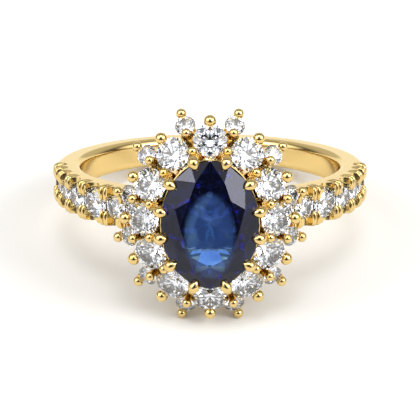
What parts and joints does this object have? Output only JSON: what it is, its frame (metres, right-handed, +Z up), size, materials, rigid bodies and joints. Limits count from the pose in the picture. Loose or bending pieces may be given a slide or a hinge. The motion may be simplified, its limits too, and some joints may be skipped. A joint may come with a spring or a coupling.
{
  "type": "engagement ring",
  "caption": "Yellow gold ring with an oval blue sapphire in a domed halo of round diamonds and a tapered band with a diamond row on each shoulder, lying at rest.",
  "frame": {"origin": "centre of the finger hole, half way through the band", "axes": "+X across the finger to the wearer's side, -Y out towards the head, +Z up as the ring lies at rest; the finger axis leans back from +Z by the rest angle"},
  "size_m": [0.0206, 0.0234, 0.0129],
  "materials": {
    "yellow_gold": "high polish",
    "sapphire": "faceted and polished",
    "diamond": "faceted and polished"
  },
  "bodies": {
    "root": {"shank": "yellow_gold", "collet": "yellow_gold", "claws": "yellow_gold", "halo_gallery": "yellow_gold", "halo_inner_beads": "yellow_gold", "halo_outer_beads": "yellow_gold", "halo_large_prongs": "yellow_gold", "halo_small_prongs": "yellow_gold", "left_upper_prongs": "yellow_gold", "left_lower_prongs": "yellow_gold", "right_upper_prongs": "yellow_gold", "right_lower_prongs": "yellow_gold", "sapphire": "sapphire", "halo_diamond_01": "diamond", "halo_diamond_02": "diamond", "halo_diamond_03": "diamond", "halo_diamond_04": "diamond", "halo_diamond_05": "diamond", "halo_diamond_06": "diamond", "halo_diamond_07": "diamond", "halo_diamond_08": "diamond", "halo_diamond_09": "diamond", "halo_diamond_10": "diamond", "halo_diamond_11": "diamond", "halo_diamond_12": "diamond", "accent_diamond_01": "diamond", "accent_diamond_02": "diamond", "accent_diamond_03": "diamond", "accent_diamond_04": "diamond", "accent_diamond_05": "diamond", "accent_diamond_06": "diamond", "accent_diamond_07": "diamond", "accent_diamond_08": "diamond", "accent_diamond_09": "diamond", "accent_diamond_10": "diamond", "accent_diamond_11": "diamond", "accent_diamond_12": "diamond", "shoulder_left_01": "diamond", "shoulder_left_02": "diamond", "shoulder_left_03": "diamond", "shoulder_left_04": "diamond", "shoulder_left_05": "diamond", "shoulder_left_06": "diamond", "shoulder_left_07": "diamond", "shoulder_right_01": "diamond", "shoulder_right_02": "diamond", "shoulder_right_03": "diamond", "shoulder_right_04": "diamond", "shoulder_right_05": "diamond", "shoulder_right_06": "diamond", "shoulder_right_07": "diamond"}
  },
  "joints": []
}
